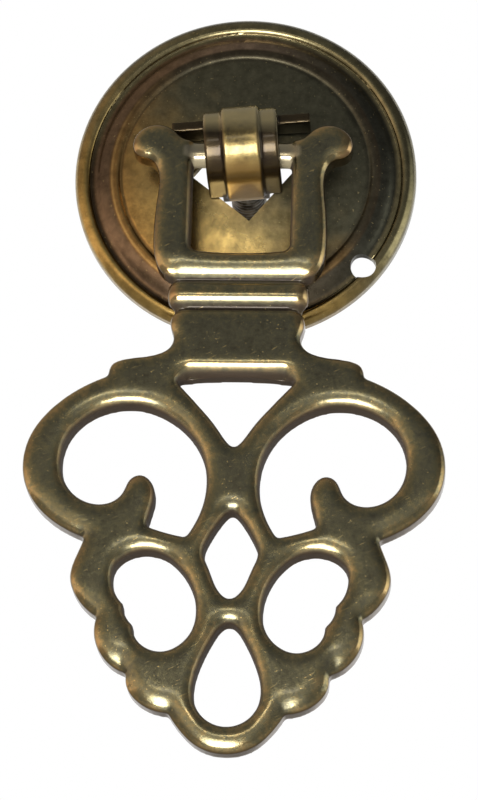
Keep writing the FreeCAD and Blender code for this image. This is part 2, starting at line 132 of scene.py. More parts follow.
# %% World
AMBIENT = 0.5
world = bpy.data.worlds.new("white_studio")
scene.world = world
world.use_nodes = True
sky = world.node_tree
sky.nodes.clear()
path = add(sky, "ShaderNodeLightPath")
seen = add(sky, "ShaderNodeMath", {0: path.outputs["Is Camera Ray"],
                                   1: path.outputs["Is Glossy Ray"]}, operation="MAXIMUM")
seen = add(sky, "ShaderNodeMath", {0: seen.outputs[0],
                                   1: path.outputs["Is Transmission Ray"]}, operation="MAXIMUM")
level = add(sky, "ShaderNodeMapRange", {"Value": seen.outputs[0], "To Min": AMBIENT, "To Max": 1.0})
white = add(sky, "ShaderNodeBackground", {"Color": linear("ffffff"), "Strength": level.outputs[0]})
add(sky, "ShaderNodeOutputWorld", {"Surface": white.outputs[0]})
print("world: strength 1 where it is looked at, %.1f as a lamp" % AMBIENT)

# %% [markdown]
# ## Floor
# A pull hangs on a drawer front, so the floor lies well below it and only lends it a little light.
# A flat grid is enough.


# %% Floor
def as_object(shape, name):
    """Puts a finished bmesh into the scene, as a new object at the origin."""
    mesh = bpy.data.meshes.new(name)
    shape.to_mesh(mesh)
    shape.free()
    made = bpy.data.objects.new(name, mesh)
    scene.collection.objects.link(made)
    return made


FLOOR_LEVEL = -0.5
FLOOR_REACH = 3.0
floor_shape = bmesh.new()
bmesh.ops.create_grid(floor_shape, x_segments=2, y_segments=2, size=FLOOR_REACH)
bmesh.ops.translate(floor_shape, verts=floor_shape.verts, vec=(0, 0, FLOOR_LEVEL))
floor = as_object(floor_shape, "floor")
# matt paint scatters light evenly, so the eye sees one pale tone with no shine
floor_paint, tree, surface = new_material("matt white paint")
paint = add(tree, "ShaderNodeBsdfPrincipled", {"Base Color": linear("eeeeec"), "Roughness": 0.9})
tree.links.new(paint.outputs[0], surface)
floor.data.materials.append(floor_paint)
print("floor: %.1f m wide, %.1f m below the plate" % (2 * FLOOR_REACH, -FLOOR_LEVEL))

# %% [markdown]
# ## Room in front
# What stands before the pull gives the brass most of its tones. A photographer's tent could be
# modelled wall by wall, but a ball with its back cut away does the same: it glows dim and cool
# above and to the right, paler and warmer at lower left, with one bright strip at its right-hand
# end. The camera and shadows don't see it, metal does.


# %% Half-room
def cut_off(shape, point, facing):
    """Cuts a bmesh with a plane and drops what lies on the side that the plane faces."""
    everything = shape.verts[:] + shape.edges[:] + shape.faces[:]
    bmesh.ops.bisect_plane(shape, geom=everything, plane_co=point, plane_no=facing,
                           clear_outer=True)


ROOM_RADIUS = 2.6
ROOM_BACK = 1.3
room_shape = bmesh.new()
bmesh.ops.create_uvsphere(room_shape, u_segments=48, v_segments=24, radius=ROOM_RADIUS)
cut_off(room_shape, (0, ROOM_BACK, 0), (0, 1, 0))
cut_off(room_shape, (0, 0, FLOOR_LEVEL), (0, 0, -1))
room = as_object(room_shape, "half_room")
room.visible_camera = False
room.visible_shadow = False
print("half-room: %d faces" % len(room.data.polygons))

# %% Glow of the half-room
ROOM_GLOW = 3.0
# lit cloth has no shine, so the eye sees soft bands of light, one from low to high, one across
room_cloth, tree, surface = new_material("grey cloth, paler at lower left")
place = add(tree, "ShaderNodeTexCoord").outputs["Object"]
spot = add(tree, "ShaderNodeSeparateXYZ", {0: place})
upward = add(tree, "ShaderNodeMapRange", {"Value": spot.outputs["Z"],
                                          "From Min": -0.2 * ROOM_RADIUS, "From Max": ROOM_RADIUS})
bands = add(tree, "ShaderNodeValToRGB", {"Fac": upward.outputs[0]},
            stops=[(0.167, "e7e2da"), (0.333, "b8b5ad"), (0.417, "9b9a97"), (0.467, "8b8b8a"),
                   (0.55, "898989"), (1.0, "95938e")])
rightward = add(tree, "ShaderNodeMapRange", {"Value": spot.outputs["X"], "From Min": -ROOM_RADIUS,
                                             "From Max": ROOM_RADIUS})
walls = add(tree, "ShaderNodeValToRGB", {"Fac": rightward.outputs[0]},
            stops=[(0.0, "c7b6a8"), (0.25, "bfb3a6"), (0.40, "a8a39b"), (0.50, "9b9b9b"),
                   (0.65, "7c7c7d"), (0.88, "69696a"), (0.96, "f3f6f3")])
both = add(tree, "ShaderNodeMix", {"Factor": 1.0, "A": bands.outputs["Color"],
                                   "B": walls.outputs["Color"]},
           data_type="RGBA", blend_type="MULTIPLY")
glow = add(tree, "ShaderNodeEmission", {"Color": both.outputs["Result"], "Strength": ROOM_GLOW})
tree.links.new(glow.outputs[0], surface)
room.data.materials.append(room_cloth)
print("half-room glows through %d nodes" % len(tree.nodes))

# %% [markdown]
# ## Lamps
# On the real pull, white glints sit on every rounded lower edge: the light came from beside the
# camera. A round soft lamp there draws them, and its size sets how wide they are. A small dim one,
# further off and higher, draws the pale band across the front of the strap's loop.


# %% Lamps
def soft_lamp(name, centre, width, height, watts, hex_colour):
    """An oval area lamp that faces what the camera looks at."""
    lamp = bpy.data.lights.new(name, "AREA")
    lamp.shape = "ELLIPSE"
    lamp.size = width
    lamp.size_y = height
    lamp.energy = watts
    lamp.color = linear(hex_colour)[:3]
    holder = bpy.data.objects.new(name, lamp)
    holder.location = centre
    holder.rotation_mode = "QUATERNION"
    holder.rotation_quaternion = (AIM - Vector(centre)).to_track_quat("-Z", "Y")
    scene.collection.objects.link(holder)
    print("%s: %.2f W, %.2f m from the pull" % (name, watts, (AIM - Vector(centre)).length))


soft_lamp("lamp_by_camera", (-0.08, -0.62, -0.38), width=0.36, height=0.42, watts=5.6,
          hex_colour="fffaf2")
soft_lamp("strip_above", (-0.068, -1.147, 0.105), width=0.20, height=0.09, watts=0.24,
          hex_colour="fff6e4")

# %% [markdown]
# ## Copies in even cells
# The brass was dipped to turn it dark and then rubbed, so it is bright where a cloth reaches, on
# rounded edges, and dark in corners. A shader could find edges by itself, but the exported model
# would lose that. So the mesh has to know how it bends, which the big triangles of a solid can't
# hold: a copy of the solid is remeshed into little squares of one size.

# %% Remeshed copy
MERGE = 0.001 * MM


def even_copy(node, name, cell_mm, rounds):
    """A copy of a solid in even cells, softened a few rounds, as a new object."""
    shape = bmesh.new()
    shape.from_mesh(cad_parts[node].data)
    bmesh.ops.remove_doubles(shape, verts=shape.verts, dist=MERGE)
    # in millimetres for the remesh, whose settings are made for larger things
    bmesh.ops.scale(shape, verts=shape.verts, vec=(1 / MM, 1 / MM, 1 / MM))
    piece = as_object(shape, name)
    remesh = piece.modifiers.new("even cells", "REMESH")
    remesh.mode = "VOXEL"
    remesh.voxel_size = cell_mm
    view = bpy.context.evaluated_depsgraph_get()
    even = bpy.data.meshes.new_from_object(piece.evaluated_get(view))
    piece.modifiers.clear()
    piece.data = even
    shape = bmesh.new()
    shape.from_mesh(even)
    for _ in range(rounds):
        bmesh.ops.smooth_vert(shape, verts=shape.verts, factor=0.5,
                              use_axis_x=True, use_axis_y=True, use_axis_z=True)
    bmesh.ops.scale(shape, verts=shape.verts, vec=(MM, MM, MM))
    shape.to_mesh(even)
    shape.free()
    even.name = name
    for face in even.polygons:
        face.use_smooth = True
    print("%s: %d points, %d faces" % (name, len(even.vertices), len(even.polygons)))
    return piece


DROP_CELL = 0.22
drop = even_copy("drop", "cast_drop", DROP_CELL, rounds=1)

# %% [markdown]
# ## Reading and writing points
# The casting has tens of thousands of points, too many for a loop in Python over and over. Numpy
# works on all of them at once, so these helpers carry points, normals and edges between a mesh and
# its arrays. The mean of a point's neighbours is what every smoothing and bending rule starts from.


# %% Points as arrays
def read_points(mesh, what):
    """The place ('co') or the 'normal' of every point, as rows of three."""
    values = np.empty(len(mesh.vertices) * 3)
    mesh.vertices.foreach_get(what, values)
    return values.reshape(-1, 3)


def read_edges(mesh):
    """The two points of every edge, by number."""
    ends = np.empty(len(mesh.edges) * 2, dtype=int)
    mesh.edges.foreach_get("vertices", ends)
    return ends.reshape(-1, 2)


def write_points(mesh, points):
    """Moves every point to its row."""
    mesh.vertices.foreach_set("co", points.ravel())
    mesh.update()


def neighbour_mean(edges, values):
    """The mean of each point's neighbours, along the mesh's edges."""
    size = len(values)
    first, second = edges.T
    count = np.bincount(edges.ravel(), minlength=size)
    total = [np.bincount(first, column[second], size) + np.bincount(second, column[first], size)
             for column in values.reshape(size, -1).T]
    return (np.array(total) / count).T.reshape(values.shape)


drop_x, _, drop_z = read_points(drop.data, "co").T / MM
print("drop spans x %.1f to %.1f and z %.1f to %.1f mm"
      % (drop_x.min(), drop_x.max(), drop_z.min(), drop_z.max()))

# %% [markdown]
# ## Filing the lower edges
# On the real casting the front rolls away above every edge that faces down, more and more steeply
# towards the edge, which is what catches the lamp as a white line. A bevel would need clean edges,
# and the remeshed copy has none. So each rule here says how far a point lies past the start of the
# rolling, and the front is filed back by a curve that grows with it, always inwards.

# %% Filing a front back
ROD_Y = -6.95       # the rod's axis, in mm: what lies before it is the drop's front


def lean_back(piece, past, curvature, deepest_mm):
    """Where past is above zero, files the front back by half the curvature times its square."""
    points = read_points(piece.data, "co")
    y = points[:, 1] / MM
    zone = (past > 0) & (y < ROD_Y)
    filed = np.minimum(0.5 * curvature * past[zone] ** 2, deepest_mm)
    points[zone, 1] = np.maximum(y[zone], y[zone].min() + filed) * MM
    write_points(piece.data, points)
    print("%s: %d points filed back" % (piece.name, np.count_nonzero(zone)))


def within(value, low, high, blur):
    """One between low and high, fading to nothing over the blur outside them."""
    return np.clip(np.minimum(value - low, high - value) / blur + 1, 0, 1)


def past_line(x, z, start, end, half_width, run_out):
    """How far below a level line a point is, down to the edge, running out to both sides."""
    return np.where(z > end, (start - z) * within(x, -half_width, half_width, run_out), 0)


# the bar of the yoke, then the stem above the triangle
lean_back(drop, past_line(drop_x, drop_z, start=-12.7, end=-15.0, half_width=6.5, run_out=2.5),
          curvature=0.43, deepest_mm=1.0)
lean_back(drop, past_line(drop_x, drop_z, start=-24.42, end=-26.8, half_width=5.2, run_out=1.8),
          curvature=1.0, deepest_mm=1.45)

# %% Filing above the leaf's lobes
LOBE_ROLL = 2.0         # how far above the outline the rolling starts, in mm
OUTLINE_STEP = 0.25


def lowest_outline(x, z):
    """The height of the lowest outline straight below each point, and that outline's slope."""
    column = np.round((x - x.min()) / OUTLINE_STEP).astype(int)
    lowest = np.full(column.max() + 1, np.inf)
    np.minimum.at(lowest, column, z)
    lowest = np.convolve(np.pad(lowest, 2, mode="edge"), np.full(5, 1 / 5), mode="valid")
    return lowest[column], np.gradient(lowest, OUTLINE_STEP)[column]


def past_lobes(x, z, half_width, run_out):
    """How far a point is within the rolling above the outline, square to it."""
    lowest, slope = lowest_outline(x, z)
    above = (z - lowest) / np.hypot(1, slope)
    return (LOBE_ROLL - above) * within(x, -half_width, half_width, run_out)


lean_back(drop, past_lobes(drop_x, drop_z, half_width=12, run_out=3),
          curvature=0.36, deepest_mm=0.8)

# %% Filing above the piercings
PIERCED_BELOW = -27.5   # the fretwork starts here, in mm
PIERCING_ROLL = 1.4
DOWNWARD = 0.3          # a wall counts from this share of its normal down, fully from twice that
SIDE_ON = 0.5           # and only if its normal turns to the front or back by less than this


def past_piercings(piece, x, z):
    """How far a point is within the rolling above the nearest side wall that faces down."""
    points, normals = read_points(piece.data, "co"), read_points(piece.data, "normal")
    facing_down = np.flatnonzero((np.abs(normals[:, 1]) < SIDE_ON) & (normals[:, 2] < -DOWNWARD))
    nearest = KDTree(len(facing_down))
    for number in facing_down:
        nearest.insert((points[number, 0] / MM, 0, points[number, 2] / MM), number)
    nearest.balance()
    past = np.zeros(len(x))
    for number in np.flatnonzero(z < PIERCED_BELOW):
        _, wall, distance = nearest.find((x[number], 0, z[number]))
        share = min((-normals[wall, 2] - DOWNWARD) / DOWNWARD, 1)
        past[number] = PIERCING_ROLL * share - distance
    return past


lean_back(drop, past_piercings(drop, drop_x, drop_z), curvature=0.5, deepest_mm=0.8)

# %% [markdown]
# ## Rubbing the front round
# Years of polishing take the sharpness off every front edge and leave corners as they were. Plain
# smoothing would fill the corners too, so a point moves to its neighbours' mean only where that is
# further back. A cloth presses most on the bar and the tip, and the bead stays crisp, so every
# point has its own share of the rubbing.

# %% Rubbing
PLAIN_SHARE = 0.2
RUBBING_ROUNDS = 120
# how much more or less than plain, then from, to and blur in x and in z, in mm
RUBBED_PLACES = {
    "bar": (0.25, (-7.5, 7.5, 2.0), (-14.9, -12.6, 0.4)),
    "foot of the stem": (-0.15, (-7.5, 7.5, 2.0), (-26.6, -23.4, 0.6)),
    "tip": (0.30, (-4.0, 4.0, 3.0), (-68.0, -64.5, 1.5)),
    "web in the middle": (-0.12, (-5.0, 5.0, 1.0), (-50.0, -42.0, 1.0)),
    "bead": (-1.0, (-30.0, 30.0, 1.0), (-18.5, -15.0, 0.1)),
}


def rubbed_share(x, z):
    """How much a cloth rounds each point of the drop, from none to all."""
    share = np.full(len(x), PLAIN_SHARE)
    for more, along_x, along_z in RUBBED_PLACES.values():
        share += more * within(x, *along_x) * within(z, *along_z)
    return np.clip(share, 0, 1)


def rub_front(piece, share):
    """Moves raised points of the front back to their neighbours' mean, round after round."""
    points, edges = read_points(piece.data, "co"), read_edges(piece.data)
    y = points[:, 1]
    share = np.where(y < ROD_Y * MM, share, 0.0)
    for _ in range(RUBBING_ROUNDS):
        y += 0.5 * share * np.maximum(neighbour_mean(edges, y) - y, 0.0)
    write_points(piece.data, points)
    print("%s: front rounded on %d points" % (piece.name, np.count_nonzero(share)))


rub_front(drop, rubbed_share(drop_x, drop_z))

# %% [markdown]
# ## What a point knows about its wear
# The film is thinnest on raised edges and thickest where no cloth goes. Each point stores three
# numbers for the shader: its bend, a half where flat and more on raised edges; whether it is a side
# wall; and whether that wall is sheltered, with another wall across a piercing, which a ray finds.
# The shader darkens walls by the last two, partly for their film and partly as painted shade.

# %% Bend of every point
BEND_STRENGTH = 0.6
BEND_BLUR = 2


def store(mesh, name, values):
    """Keeps one number for each point, under a name that a shader can read."""
    layer = mesh.attributes.new(name, "FLOAT", "POINT")
    layer.data.foreach_set("value", values.astype(np.float32))
    print("%s %s: low %.2f, middle %.2f, high %.2f"
          % (mesh.name, name, *np.percentile(values, (2, 50, 98))))


def store_bend(piece, cell_mm, reach_rounds):
    """How far each point stands out of the mean around it, in cells, as 'bend'."""
    mesh = piece.data
    points, normals, edges = read_points(mesh, "co"), read_points(mesh, "normal"), read_edges(mesh)
    smooth = points
    for _ in range(reach_rounds):
        smooth = neighbour_mean(edges, smooth)
    bend = ((points - smooth) * normals).sum(axis=1) / (cell_mm * MM)
    for _ in range(BEND_BLUR):
        bend = neighbour_mean(edges, bend)
    store(mesh, "bend", np.clip(0.5 + BEND_STRENGTH * bend, 0, 1))


store_bend(drop, DROP_CELL, reach_rounds=10)

# %% Walls and shelter
WALL_FULLY, WALL_AT_ALL = 0.3, 0.6      # how far a wall's normal may turn to the front or back
SLANT_AT_MOST = 0.75                    # the same for what may lie in the shelter of a wall
CLEAR_OF_SURFACE = 0.1 * MM
WALL_BLUR = 3


def store_shelter(piece, far_mm):
    """Side walls as 'wall', and those that face another wall of the piece as 'shelter'."""
    mesh = piece.data
    points, normals, edges = read_points(mesh, "co"), read_points(mesh, "normal"), read_edges(mesh)
    frontal = np.abs(normals[:, 1])
    shape = bmesh.new()
    shape.from_mesh(mesh)
    metal = BVHTree.FromBMesh(shape)
    shape.free()
    shelter = np.zeros(len(points))
    for number in np.flatnonzero(frontal < SLANT_AT_MOST):
        sideways = Vector((normals[number, 0], 0, normals[number, 2])).normalized()
        start = Vector(points[number]) + CLEAR_OF_SURFACE * Vector(normals[number])
        hit = metal.ray_cast(start, sideways, far_mm * MM)
        shelter[number] = 0.0 if hit[0] is None else 1.0
    wall = np.clip((WALL_AT_ALL - frontal) / (WALL_AT_ALL - WALL_FULLY), 0, 1)
    for _ in range(WALL_BLUR):
        shelter = neighbour_mean(edges, shelter)
        wall = neighbour_mean(edges, wall)
    store(mesh, "shelter", shelter)
    store(mesh, "wall", wall)


store_shelter(drop, far_mm=25)

# %% [markdown]
# ## Strap
# The strap is strip, rolled with ribs and bent into the loop that the drop hangs in. Its solid has
# the right shape, so it only needs a copy whose points know their bend. Its ribs are smaller than
# anything on the drop, so its cells are too.

# %% Strap
STRAP_CELL = 0.12
strap = even_copy("hanger_strap", "rolled_strap", STRAP_CELL, rounds=2)
store_bend(strap, STRAP_CELL, reach_rounds=8)

# %% [markdown]
# ## Plate
# The plate was spun or pressed from sheet, so its rings are smooth and exact, and cells would only
# roughen them. Its solid is loose triangles, which shade as flat facets. A merged copy shades
# smoothly across them, and normals weighted by area keep the broad flats from bending at the rims.


# %% Plate
def smooth_copy(node, name, sharp_degrees):
    """A merged copy of a solid that shades smoothly across facets, but not over sharp edges."""
    shape = bmesh.new()
    shape.from_mesh(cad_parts[node].data)
    bmesh.ops.remove_doubles(shape, verts=shape.verts, dist=MERGE)
    piece = as_object(shape, name)
    for face in piece.data.polygons:
        face.use_smooth = True
    piece.data.set_sharp_from_angle(angle=math.radians(sharp_degrees))
    weigh = piece.modifiers.new("weigh normals by area", "WEIGHTED_NORMAL")
    weigh.keep_sharp = True
    print("%s: %d points, %d faces" % (name, len(piece.data.vertices), len(piece.data.polygons)))
    return piece


plate = smooth_copy("backplate", "pressed_plate", sharp_degrees=35)

# %% [markdown]
# ## Cast antique brass
# The drop was cast in sand, dipped dark and rubbed back. The film is olive brown and rougher; where
# it is rubbed away the metal is golden and smoother, with a pinkish edge. The colour could be
# painted by hand, but the stored bend, made uneven by clouds and sand grain, says where a cloth has
# been.

# %% Cast brass: the rubbed film
CAST_CLOUD = 2.0 * MM
SAND_GRAIN = 0.6 * MM   # drawn coarser than real casting sand, so that it shows
# to the eye: satin olive flats, golden edges that glint, and dull, nearly black piercings
cast_brass, tree, surface = new_material("cast antique brass")
place = add(tree, "ShaderNodeTexCoord").outputs["Object"]
bend, shelter, wall = [add(tree, "ShaderNodeAttribute", attribute_name=name).outputs["Fac"]
                       for name in ("bend", "shelter", "wall")]
cloud = add(tree, "ShaderNodeTexNoise", {"Vector": place, "Scale": 1 / CAST_CLOUD, "Detail": 5.0,
                                         "Roughness": 0.6})
grain = add(tree, "ShaderNodeTexNoise", {"Vector": place, "Scale": 1 / SAND_GRAIN, "Detail": 4.0,
                                         "Roughness": 0.7})
ragged = add(tree, "ShaderNodeMath", {0: cloud.outputs["Fac"], 1: 0.34, 2: -0.17},
             operation="MULTIPLY_ADD")
sandy = add(tree, "ShaderNodeMath", {0: grain.outputs["Fac"], 1: 0.5, 2: -0.25},
            operation="MULTIPLY_ADD")
uneven = add(tree, "ShaderNodeMath", {0: ragged.outputs[0], 1: sandy.outputs[0]}, operation="ADD")
rub = add(tree, "ShaderNodeMath", {0: bend, 1: uneven.outputs[0]}, operation="ADD")
film = add(tree, "ShaderNodeValToRGB", {"Fac": rub.outputs[0]},
           stops=[(0.28, "2a251d"), (0.40, "524f40"), (0.52, "686653"), (0.62, "7c7659"),
                  (0.76, "a48f64"), (0.95, "a5835e")])
print("rubbed film: %d nodes" % len(tree.nodes))

# %% Cast brass: chips and scratches
CHIP = 0.24 * MM
# hair scratches, drawn wider than real ones so that they show: their width, depth and length
SCRATCH = (0.14 * MM, 2.0 * MM, 1.6 * MM)
SCRATCH_SLANT = math.radians(62)
dots = add(tree, "ShaderNodeTexNoise", {"Vector": place, "Scale": 1 / CHIP, "Detail": 1.0})
chip = add(tree, "ShaderNodeMapRange", {"Value": dots.outputs["Fac"], "From Min": 0.71,
                                        "From Max": 0.77})
slant = add(tree, "ShaderNodeMapping", {"Vector": place, "Rotation": (0.0, SCRATCH_SLANT, 0.0),
                                        "Scale": SCRATCH}, vector_type="TEXTURE")
hairs = add(tree, "ShaderNodeTexNoise", {"Vector": slant.outputs[0], "Scale": 1.0, "Detail": 1.0})
scratch = add(tree, "ShaderNodeMapRange", {"Value": hairs.outputs["Fac"], "From Min": 0.70,
                                           "From Max": 0.78, "To Min": 0.0, "To Max": 0.7})
marks = add(tree, "ShaderNodeMath", {0: chip.outputs[0], 1: scratch.outputs[0]},
            operation="MAXIMUM")
chipped = add(tree, "ShaderNodeMix", {"Factor": marks.outputs[0], "A": film.outputs["Color"],
                                      "B": linear("c4b07c")}, data_type="RGBA")
print("with chips and scratches: %d nodes" % len(tree.nodes))

# %% Cast brass: side walls and rod
# side walls are drawn darker, partly for their unpolished film and partly as painted shade, and
# walls facing another across a piercing darker still, partly crust and partly painted shade
outside = add(tree, "ShaderNodeMix", {"Factor": wall, "A": chipped.outputs["Result"],
                                      "B": linear("5c4a32")}, data_type="RGBA")
sides = add(tree, "ShaderNodeMix", {"Factor": shelter, "A": outside.outputs["Result"],
                                    "B": linear("40352a")}, data_type="RGBA")
# the rod between the arms is drawn lighter, partly rubbed by the loop and partly a painted
# highlight: near its axis, and short of the arms
ROD_SKIN = (1.50 * MM, 1.62 * MM)
ARMS_START = (6.2 * MM, 6.6 * MM)
across = add(tree, "ShaderNodeVectorMath",
             {0: place, 1: (0.0, 1.0, 1.0), 2: (0.0, -ROD_Y * MM, 0.0)}, operation="MULTIPLY_ADD")
from_axis = add(tree, "ShaderNodeVectorMath", {0: across.outputs[0]}, operation="LENGTH")
turned = add(tree, "ShaderNodeMapRange", {"Value": from_axis.outputs["Value"],
                                          "From Min": ROD_SKIN[0], "From Max": ROD_SKIN[1],
                                          "To Min": 1.0, "To Max": 0.0})
spot = add(tree, "ShaderNodeSeparateXYZ", {0: place})
from_middle = add(tree, "ShaderNodeMath", {0: spot.outputs["X"]}, operation="ABSOLUTE")
between = add(tree, "ShaderNodeMapRange", {"Value": from_middle.outputs[0],
                                           "From Min": ARMS_START[0], "From Max": ARMS_START[1],
                                           "To Min": 1.0, "To Max": 0.0})
bright = add(tree, "ShaderNodeMath", {0: turned.outputs[0], 1: between.outputs[0]},
             operation="MULTIPLY")
with_rod_wear_and_highlight = add(tree, "ShaderNodeMix", {"Factor": bright.outputs[0], "A": sides.outputs["Result"],
                                       "B": linear("a89f86")}, data_type="RGBA")
print("with walls and rod: %d nodes" % len(tree.nodes))

# %% Cast brass: shader
GRAIN_DEPTH = 0.05 * MM
dull = add(tree, "ShaderNodeMapRange", {"Value": rub.outputs[0], "From Min": 0.35, "From Max": 0.8,
                                        "To Min": 0.26, "To Max": 0.12})
# sheltered walls keep a crust that is neither smooth nor bare, and lacquer covers the front alone
rough = add(tree, "ShaderNodeMix", {"Factor": shelter, "A": dull.outputs[0], "B": 0.8},
            data_type="FLOAT")
bare = add(tree, "ShaderNodeMapRange", {"Value": shelter, "To Min": 1.0, "To Max": 0.3})
lacquer = add(tree, "ShaderNodeMapRange", {"Value": wall, "To Min": 0.35, "To Max": 0.0})
skin = add(tree, "ShaderNodeBump", {"Height": grain.outputs["Fac"], "Strength": 0.25,
                                    "Distance": GRAIN_DEPTH})
metal = add(tree, "ShaderNodeBsdfPrincipled",
            {"Base Color": with_rod_wear_and_highlight.outputs["Result"], "Metallic": bare.outputs[0],
             "Roughness": rough.outputs["Result"], "Normal": skin.outputs["Normal"],
             "Coat Weight": lacquer.outputs[0], "Coat Roughness": 0.12})
tree.links.new(metal.outputs[0], surface)
drop.data.materials.append(cast_brass)
print("%s: %d nodes" % (cast_brass.name, len(tree.nodes)))

# %% [markdown]
# ## Rolled antique brass strip
# Rolling leaves strip smoother than a casting. Its middle rib stands highest and is rubbed most.
# The outer ribs are drawn dark as painted shade, the loop's underside a paler, duller amber as
# painted light, and the top of the loop's front pale as a painted reflection. Three materials
# could be laid side by side, but the places blend into one another, so one material mixes them by
# where they lie on the strap, which is turned a few degrees on the plate.

# %% Strip: the rubbed film
STRIP_CLOUD = 1.5 * MM
STRIP_GRAIN = 0.35 * MM
# to the eye: a warm satin rib with a pale crest, between two dark brown ones
rolled_brass, tree, surface = new_material("rolled antique brass strip")
place = add(tree, "ShaderNodeTexCoord").outputs["Object"]
bend = add(tree, "ShaderNodeAttribute", attribute_name="bend").outputs["Fac"]
cloud = add(tree, "ShaderNodeTexNoise", {"Vector": place, "Scale": 1 / STRIP_CLOUD, "Detail": 5.0,
                                         "Roughness": 0.65})
grain = add(tree, "ShaderNodeTexNoise", {"Vector": place, "Scale": 1 / STRIP_GRAIN, "Detail": 3.0})
ragged = add(tree, "ShaderNodeMath", {0: cloud.outputs["Fac"], 1: 0.6, 2: -0.32},
             operation="MULTIPLY_ADD")
rub = add(tree, "ShaderNodeMath", {0: bend, 1: ragged.outputs[0]}, operation="ADD")
film = add(tree, "ShaderNodeValToRGB", {"Fac": rub.outputs[0]},
           stops=[(0.32, "1c1711"), (0.44, "5a5036"), (0.56, "85764c"), (0.85, "b8a272")])
print("strip's film: %d nodes" % len(tree.nodes))

# %% Strip: underside, outer ribs and crest
LOOP_UNDERSIDE = (-2.6 * MM, -1.5 * MM)
OUTER_RIBS = (1.75 * MM, 2.0 * MM)
LOOP_TOP = (1.0 * MM, 2.6 * MM)
LOOP_FRONT = (-6.8 * MM, -6.0 * MM)
HANGER_TURN = math.radians(5)
spot = add(tree, "ShaderNodeSeparateXYZ", {0: place})
# painted light: the underside of the loop is drawn a paler, duller amber
under = add(tree, "ShaderNodeMapRange", {"Value": spot.outputs["Z"],
                                         "From Min": LOOP_UNDERSIDE[0],
                                         "From Max": LOOP_UNDERSIDE[1],
                                         "To Min": 0.8, "To Max": 0.0})
amber = add(tree, "ShaderNodeMix", {"Factor": under.outputs[0], "A": film.outputs["Color"],
                                    "B": linear("a98a52")}, data_type="RGBA")
# painted shade: the outer ribs, to either side of the middle one, are drawn dark brown
across = add(tree, "ShaderNodeVectorMath",
             {0: place, 1: (math.cos(HANGER_TURN), 0.0, math.sin(HANGER_TURN))},
             operation="DOT_PRODUCT")
from_middle = add(tree, "ShaderNodeMath", {0: across.outputs["Value"]}, operation="ABSOLUTE")
outer_rib = add(tree, "ShaderNodeMapRange", {"Value": from_middle.outputs[0],
                                             "From Min": OUTER_RIBS[0], "From Max": OUTER_RIBS[1],
                                             "To Min": 0.0, "To Max": 0.9})
ribs = add(tree, "ShaderNodeMix", {"Factor": outer_rib.outputs[0], "A": amber.outputs["Result"],
                                   "B": linear("2e261d")}, data_type="RGBA")
# painted reflection: the top of the loop's front is drawn pale
crest = add(tree, "ShaderNodeMapRange", {"Value": spot.outputs["Z"], "From Min": LOOP_TOP[0],
                                         "From Max": LOOP_TOP[1], "To Min": 0.0, "To Max": 0.6})
before = add(tree, "ShaderNodeMapRange", {"Value": spot.outputs["Y"], "From Min": LOOP_FRONT[0],
                                          "From Max": LOOP_FRONT[1], "To Min": 1.0, "To Max": 0.0})
pale = add(tree, "ShaderNodeMath", {0: crest.outputs[0], 1: before.outputs[0]},
           operation="MULTIPLY")
rubbed = add(tree, "ShaderNodeMix", {"Factor": pale.outputs[0], "A": ribs.outputs["Result"],
                                     "B": linear("e0d2a4")}, data_type="RGBA")
print("with its ribs: %d nodes" % len(tree.nodes))

# %% Strip: shader
STRIP_GRAIN_DEPTH = 0.04 * MM
rough = add(tree, "ShaderNodeMapRange", {"Value": under.outputs[0], "To Min": 0.27, "To Max": 0.5})
skin = add(tree, "ShaderNodeBump", {"Height": grain.outputs["Fac"], "Strength": 0.2,
                                    "Distance": STRIP_GRAIN_DEPTH})
metal = add(tree, "ShaderNodeBsdfPrincipled",
            {"Base Color": rubbed.outputs["Result"], "Metallic": 1.0, "Roughness": rough.outputs[0],
             "Normal": skin.outputs["Normal"], "Coat Weight": 0.3, "Coat Roughness": 0.12})
tree.links.new(metal.outputs[0], surface)
strap.data.materials.append(rolled_brass)
print("%s: %d nodes" % (rolled_brass.name, len(tree.nodes)))

# %% [markdown]
# ## Pressed antique brass sheet
# A plate is polished while it turns, so its wear runs in rings, golden on the disc and rim. The
# crease and hollow are drawn darker, and the shoulder carries a bright line, partly wear and partly
# a painted highlight. Rings could be an image, but distance from the middle through a colour ramp
# draws them sharp at any size. Handling then tarnished the plate unevenly, and painted shade
# darkens it further, most at the upper right.

# %% Sheet: rings
PLATE_RADIUS = 19.0 * MM
# to the eye: smooth gold with soft clouds, ringed by a dark hollow and a bright rim
sheet_brass, tree, surface = new_material("pressed antique brass sheet")
place = add(tree, "ShaderNodeTexCoord").outputs["Object"]
flat = add(tree, "ShaderNodeVectorMath", {0: place, 1: (1.0, 0.0, 1.0)}, operation="MULTIPLY")
radius = add(tree, "ShaderNodeVectorMath", {0: flat.outputs[0]}, operation="LENGTH")
ring = add(tree, "ShaderNodeMath", {0: radius.outputs["Value"], 1: 1 / PLATE_RADIUS},
           operation="MULTIPLY")
# the shoulder's bright line is partly wear on its crest and partly a painted highlight; the crease
# and the foot of the bead are drawn darker
film = add(tree, "ShaderNodeValToRGB", {"Fac": ring.outputs[0]},
           stops=[(0.0, "c6b078"), (0.45, "c0a86c"),                                # disc
                  (0.712, "a48550"), (0.722, "6d5636"), (0.732, "9a7a49"),          # crease
                  (0.768, "987546"), (0.781, "c29e66"), (0.793, "86653c"),          # shoulder
                  (0.84, "8a6a46"), (0.893, "40352a"), (0.909, "40352a"),           # hollow
                  (0.918, "ad9258"), (1.0, "a98f56")])                              # rim
print("rings: %d colours" % len(film.color_ramp.elements))
